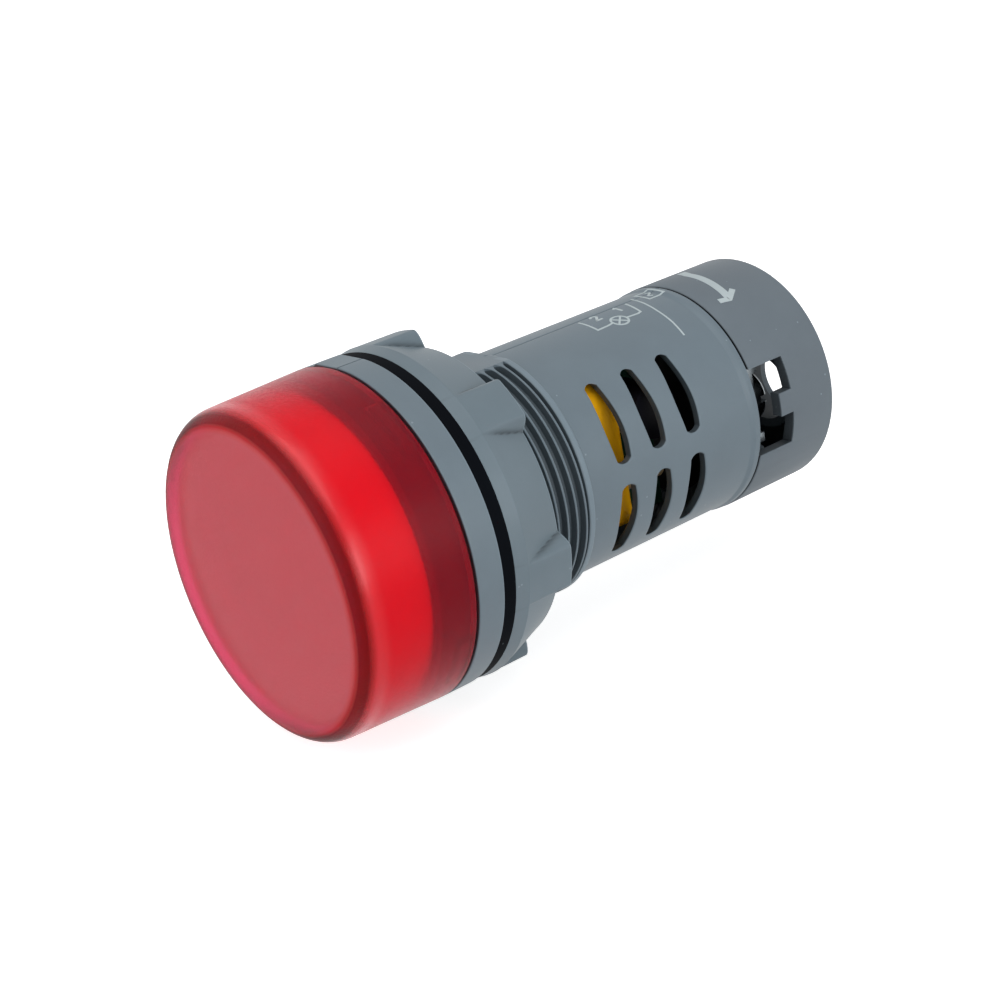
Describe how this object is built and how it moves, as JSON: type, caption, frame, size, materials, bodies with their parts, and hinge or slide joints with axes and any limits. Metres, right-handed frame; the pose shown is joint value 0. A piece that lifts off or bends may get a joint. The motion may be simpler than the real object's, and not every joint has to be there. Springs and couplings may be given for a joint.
{
  "type": "panel pilot light",
  "caption": "Round red pilot light for a panel hole, with a bezel, gasket, lobed ring nut on a threaded barrel, vented body and a rear cap over screw terminals.",
  "frame": {"origin": "centre of the gasket's rear face, where the front of the panel lies", "axes": "-Y is the way the light faces, +Y runs along the barrel to the rear, +Z is the top mark on the bezel, and the vents and wire windows face +X and -X"},
  "size_m": [0.0298, 0.0555, 0.0298],
  "materials": {
    "lens_red": "translucent, finely frosted on its front face",
    "diffuser_pink": "milky, translucent",
    "housing_grey": "moulded, satin",
    "nut_grey": "moulded, satin",
    "cap_grey": "moulded, fine matt",
    "gasket_black": "smooth",
    "board_green": "solder mask over glass fibre",
    "led_clear": "clear, polished",
    "film_amber": "dipped",
    "can_black": "shrink sleeve",
    "chip_black": "moulded",
    "resistor_green": "cement coat",
    "resistor_tan": "lacquered",
    "diode_orange": "glass bead",
    "varistor_blue": "dipped",
    "block_black": "moulded",
    "contact_brass": "stamped, tinned at the edges",
    "plated_steel": "zinc plated",
    "screw_steel": "zinc plated, drive recess"
  },
  "bodies": {
    "light": {"lens": "lens_red", "diffuser": "diffuser_pink", "led_board": "board_green", "leds": "led_clear", "link_pins": "plated_steel", "housing": "housing_grey", "gasket": "gasket_black", "main_board": "board_green", "film_capacitor": "film_amber", "smoothing_capacitor": "can_black", "bridge_rectifier": "chip_black", "series_resistor": "resistor_green", "bleed_resistor": "resistor_tan", "zener_diode": "diode_orange", "surge_varistor": "varistor_blue", "terminal_block": "block_black", "contact_plate_1": "contact_brass", "contact_plate_2": "contact_brass", "rear_cap": "cap_grey"},
    "nut": {"mounting_nut": "nut_grey"},
    "clamp_1": {"clamp_plate_1": "plated_steel"},
    "clamp_2": {"clamp_plate_2": "plated_steel"},
    "screw_1": {"terminal_screw_1": "screw_steel"},
    "screw_2": {"terminal_screw_2": "screw_steel"}
  },
  "joints": [
    {"name": "nut_travel", "type": "slide", "parent": "light", "child": "nut", "axis": [0, 1, 0], "range_m": [0, 0.045]},
    {"name": "clamp_lift_1", "type": "slide", "parent": "light", "child": "clamp_1", "axis": [0, 1, 0], "range_m": [0, 0.002]},
    {"name": "clamp_lift_2", "type": "slide", "parent": "light", "child": "clamp_2", "axis": [0, 1, 0], "range_m": [0, 0.002]},
    {"name": "screw_turn_1", "type": "hinge", "parent": "clamp_1", "child": "screw_1", "pos_m": [0.0053, 0.0336, 0], "axis": [0, 1, 0], "range_deg": [0, 1440]},
    {"name": "screw_turn_2", "type": "hinge", "parent": "clamp_2", "child": "screw_2", "pos_m": [-0.0053, 0.0336, 0], "axis": [0, 1, 0], "range_deg": [0, 1440]}
  ],
  "couplings": [
    {"joint": "screw_turn_1", "follows": "clamp_lift_1", "rad_per_m": 12566},
    {"joint": "screw_turn_2", "follows": "clamp_lift_2", "rad_per_m": 12566}
  ]
}
